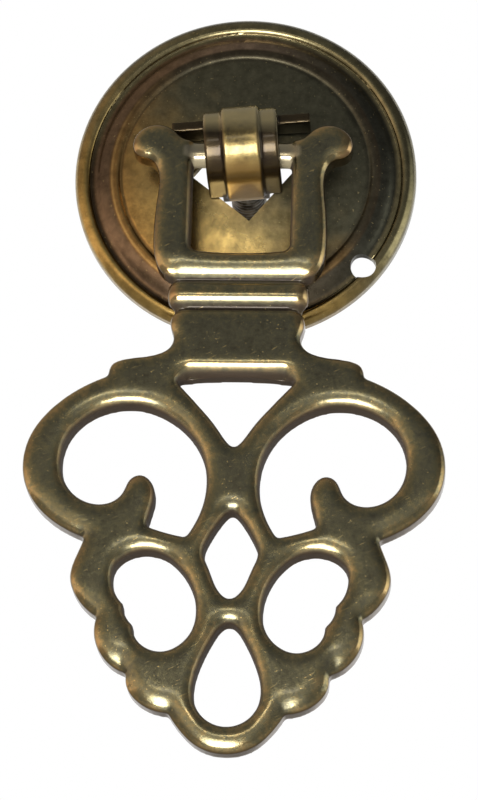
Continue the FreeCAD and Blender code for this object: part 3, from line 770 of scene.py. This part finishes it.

# %% Sheet: tarnish and hollow
# partly real tarnish in clouds, partly painted shade leaning darkest to the upper right
TARNISH_CLOUD = 5.0 * MM
PAINTED_SHADE_LEAN = (0.6, 0.0, 0.8)
cloud = add(tree, "ShaderNodeTexNoise", {"Vector": place, "Scale": 1 / TARNISH_CLOUD,
                                         "Detail": 5.0})
slope = add(tree, "ShaderNodeVectorMath",
            {0: place, 1: [share / PLATE_RADIUS for share in PAINTED_SHADE_LEAN]},
            operation="DOT_PRODUCT")
tarnish_and_shade_level = add(tree, "ShaderNodeMath", {0: cloud.outputs["Fac"], 1: -1.0, 2: slope.outputs["Value"]},
           operation="MULTIPLY_ADD")
tarnish_and_painted_shade = add(tree, "ShaderNodeMapRange", {"Value": tarnish_and_shade_level.outputs[0], "From Min": -1.15,
                                           "From Max": -0.25, "To Min": 0.0, "To Max": 1.0},
              interpolation_type="SMOOTHSTEP")
dark = add(tree, "ShaderNodeValToRGB", {"Fac": ring.outputs[0]},
           stops=[(0.70, "5c5b4c"), (0.745, "4a463a"), (0.79, "4c4438"), (0.92, "7c7559")])
tinted = add(tree, "ShaderNodeMix", {"Factor": tarnish_and_painted_shade.outputs[0], "A": film.outputs["Color"],
                                     "B": dark.outputs["Color"]}, data_type="RGBA")
# painted shade: the hollow is drawn brown, paler at the top and nearly black to the right
spot = add(tree, "ShaderNodeSeparateXYZ", {0: place})
rightward = add(tree, "ShaderNodeMapRange", {"Value": spot.outputs["X"], "From Min": -PLATE_RADIUS,
                                             "From Max": PLATE_RADIUS})
hollow = add(tree, "ShaderNodeValToRGB", {"Fac": rightward.outputs[0]},
             stops=[(0.0, "685848"), (0.25, "76624e"), (0.5, "8e7b6a"), (0.68, "625a4c"),
                    (0.85, "44443c")])
in_hollow = add(tree, "ShaderNodeValToRGB", {"Fac": ring.outputs[0]},
                stops=[(0.785, "000000"), (0.80, "ffffff"), (0.875, "ffffff"), (0.89, "000000")])
pressed = add(tree, "ShaderNodeMix", {"Factor": in_hollow.outputs["Color"],
                                      "A": tinted.outputs["Result"], "B": hollow.outputs["Color"]},
              data_type="RGBA")
print("with tarnish: %d nodes" % len(tree.nodes))

# %% Sheet: clouds and chips
SHEET_CLOUD = 1.2 * MM
SHEET_CHIP = 0.26 * MM
cloud = add(tree, "ShaderNodeTexNoise", {"Vector": place, "Scale": 1 / SHEET_CLOUD, "Detail": 6.0,
                                         "Roughness": 0.7})
shade = add(tree, "ShaderNodeMapRange", {"Value": cloud.outputs["Fac"], "From Min": 0.35,
                                         "From Max": 0.65, "To Min": 0.72, "To Max": 1.2})
clouded = add(tree, "ShaderNodeVectorMath", {0: pressed.outputs["Result"],
                                             "Scale": shade.outputs[0]}, operation="SCALE")
dots = add(tree, "ShaderNodeTexNoise", {"Vector": place, "Scale": 1 / SHEET_CHIP, "Detail": 1.0})
chip = add(tree, "ShaderNodeMapRange", {"Value": dots.outputs["Fac"], "From Min": 0.71,
                                        "From Max": 0.78, "To Min": 0.0, "To Max": 0.45})
chipped = add(tree, "ShaderNodeMix", {"Factor": chip.outputs[0], "A": clouded.outputs[0],
                                      "B": linear("d2c08c")}, data_type="RGBA")
print("with clouds and chips: %d nodes" % len(tree.nodes))

# %% Sheet: sprung disc and leaning bead
SPRUNG_RADIUS = 13.6 * MM
SPRING = -5.2           # height over the square of the distance from the middle, per metre
BEAD_TOP = 17.2 * MM
BEAD_LEAN = 0.4
SHEET_GRAIN = 0.4 * MM
SHEET_GRAIN_DEPTH = 0.05 * MM
# the disc inside the crease is sprung a little, which swings its reflections
spread = add(tree, "ShaderNodeVectorMath", {0: flat.outputs[0], 1: flat.outputs[0]},
             operation="DOT_PRODUCT")
within_disc = add(tree, "ShaderNodeMath", {0: spread.outputs["Value"], 1: SPRUNG_RADIUS ** 2},
                  operation="MINIMUM")
sprung = add(tree, "ShaderNodeMath", {0: within_disc.outputs[0], 1: SPRING}, operation="MULTIPLY")
# and the rolled bead leans outward, which keeps its light on the inner side
lean = add(tree, "ShaderNodeMath", {0: radius.outputs["Value"], 1: -BEAD_LEAN,
                                    2: BEAD_LEAN * BEAD_TOP}, operation="MULTIPLY_ADD")
bead = add(tree, "ShaderNodeMath", {0: lean.outputs[0], 1: 0.0}, operation="MINIMUM")
form = add(tree, "ShaderNodeMath", {0: sprung.outputs[0], 1: bead.outputs[0]}, operation="ADD")
dome = add(tree, "ShaderNodeBump", {"Height": form.outputs[0], "Strength": 1.0, "Distance": 1.0})
grain = add(tree, "ShaderNodeTexNoise", {"Vector": place, "Scale": 1 / SHEET_GRAIN, "Detail": 3.0})
skin = add(tree, "ShaderNodeBump", {"Height": grain.outputs["Fac"], "Strength": 0.15,
                                    "Distance": SHEET_GRAIN_DEPTH,
                                    "Normal": dome.outputs["Normal"]})
print("with its form: %d nodes" % len(tree.nodes))

# %% Sheet: shader
# tarnish is dull, but the rim is rubbed bright all round
rimward = add(tree, "ShaderNodeMapRange", {"Value": ring.outputs[0], "From Min": 0.89,
                                           "From Max": 0.91, "To Min": 1.0, "To Max": 0.0})
dull = add(tree, "ShaderNodeMath", {0: tarnish_and_painted_shade.outputs[0], 1: rimward.outputs[0]},
           operation="MULTIPLY")
rough = add(tree, "ShaderNodeMapRange", {"Value": dull.outputs[0], "To Min": 0.22, "To Max": 0.38})
metal = add(tree, "ShaderNodeBsdfPrincipled",
            {"Base Color": chipped.outputs["Result"], "Metallic": 1.0,
             "Roughness": rough.outputs[0], "Normal": skin.outputs["Normal"]})
tree.links.new(metal.outputs[0], surface)
plate.data.materials.append(sheet_brass)
print("%s: %d nodes" % (sheet_brass.name, len(tree.nodes)))

# %% [markdown]
# ## Screw thread
# A thread is one little ridge wound round and round. Rings stacked on a rod look much the same from
# afar, but a spin that also slides along the axis winds the ridge exactly, and neighbouring turns
# then share their edges. It is wound a turn too long at both ends and cut square.

# %% Winding the thread
STUD_RADIUS = 2.0       # these lengths are in mm, and the whole stud is scaled at the end
PITCH = 0.8
ROOT_RADIUS = STUD_RADIUS - 0.6 * PITCH
TURN_STEPS = 32
SHOULDER = 0.35         # where the thread starts, behind the plate's back
SAME_POINT = 0.002
RIDGE = ((ROOT_RADIUS, 0), (STUD_RADIUS, 0.42), (STUD_RADIUS, 0.58), (ROOT_RADIUS, 1))
(stud_low, stud_high) = [Vector(corner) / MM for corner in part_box("fixing_stud")]
turns = math.ceil((stud_high.y - SHOULDER) / PITCH) + 2
thread = bmesh.new()
ridge = [thread.verts.new((out, SHOULDER - PITCH + along * PITCH, 0)) for out, along in RIDGE]
ridge_edges = [thread.edges.new(pair) for pair in zip(ridge, ridge[1:])]
bmesh.ops.spin(thread, geom=ridge + ridge_edges, cent=(0, 0, 0), axis=(0, 1, 0),
               angle=2 * math.pi * turns, steps=TURN_STEPS * turns,
               dvec=(0, PITCH / TURN_STEPS, 0), use_merge=False)
bmesh.ops.remove_doubles(thread, verts=thread.verts, dist=SAME_POINT)
print("thread: %d turns, %d faces" % (turns, len(thread.faces)))

# %% Ends of the thread
TIP = 0.7
TIP_TAPER = 0.25
cut_off(thread, (0, SHOULDER, 0), (0, -1, 0))
cut_off(thread, (0, stud_high.y, 0), (0, 1, 0))
rims = [edge for edge in thread.edges if edge.is_boundary]
bmesh.ops.holes_fill(thread, edges=rims, sides=0)
for point in thread.verts:
    into_tip = max(0.0, (point.co.y - (stud_high.y - TIP)) / TIP)
    point.co.x *= 1 - TIP_TAPER * into_tip
    point.co.z *= 1 - TIP_TAPER * into_tip
print("thread runs from %.2f to %.2f mm, with %d edges closed" % (SHOULDER, stud_high.y, len(rims)))

# %% [markdown]
# ## Spigot
# A smaller spigot at the front of the stud sits in the strap's tail, where it would be riveted. It
# is a turned cylinder, so a cone of equal ends makes it. Then the stud is laid on its own axis.

# %% Spigot, and the stud in place
SPIGOT_RADIUS = 1.5
spigot_length = SHOULDER - stud_low.y
spigot = bmesh.ops.create_cone(thread, cap_ends=True, segments=TURN_STEPS, radius1=SPIGOT_RADIUS,
                               radius2=SPIGOT_RADIUS, depth=spigot_length)["verts"]
bmesh.ops.rotate(thread, verts=spigot, cent=(0, 0, 0),
                 matrix=Matrix.Rotation(math.radians(90), 3, "X"))
bmesh.ops.translate(thread, verts=spigot, vec=(0, stud_low.y + spigot_length / 2, 0))
bmesh.ops.recalc_face_normals(thread, faces=thread.faces)
stud_axis = Vector(((stud_low.x + stud_high.x) / 2, 0, (stud_low.z + stud_high.z) / 2))
bmesh.ops.translate(thread, verts=thread.verts, vec=stud_axis)
bmesh.ops.scale(thread, verts=thread.verts, vec=(MM, MM, MM))
stud = as_object(thread, "threaded_stud")
print("stud: %d faces" % len(stud.data.polygons))

# %% [markdown]
# ## Zinc plated steel
# The stud is bought in, steel with a thin plating of zinc that has gone cloudy and dark in places.
# One grey would look like plastic, so a noise a little coarser than the thread's pitch stains it.

# %% Zinc plated steel
STAIN = 1.2 * MM
# to the eye: a cool, fairly bright grey with dark stains, unlike the warm brass around it
steel, tree, surface = new_material("zinc plated steel")
place = add(tree, "ShaderNodeTexCoord").outputs["Object"]
stain = add(tree, "ShaderNodeTexNoise", {"Vector": place, "Scale": 1 / STAIN, "Detail": 4.0})
plating = add(tree, "ShaderNodeValToRGB", {"Fac": stain.outputs["Fac"]},
              stops=[(0.35, "3a3733"), (0.65, "8f8d88")])
metal = add(tree, "ShaderNodeBsdfPrincipled", {"Base Color": plating.outputs["Color"],
                                               "Metallic": 1.0, "Roughness": 0.3})
tree.links.new(metal.outputs[0], surface)
stud.data.materials.append(steel)
print("%s: %d nodes" % (steel.name, len(tree.nodes)))

# %% [markdown]
# ## Hand over
# Plate, strap and stud are fixed to the drawer, and the drop swings. Each piece could be keyed by
# hand, but here it rides on the body that its solid belongs to and stands in for that solid, so it
# follows the joint at every pose.

# %% Hand the pieces to the frame
for piece, node, body, slot in ((drop, "drop", "drop", "drop_brass"),
                                (strap, "hanger_strap", "plate", "strap_brass"),
                                (plate, "backplate", "plate", "plate_brass"),
                                (stud, "fixing_stud", "plate", "stud_steel")):
    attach(piece, body)
    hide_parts(node)
    print("%s rides on %s in place of %s" % (piece.name, body, node))
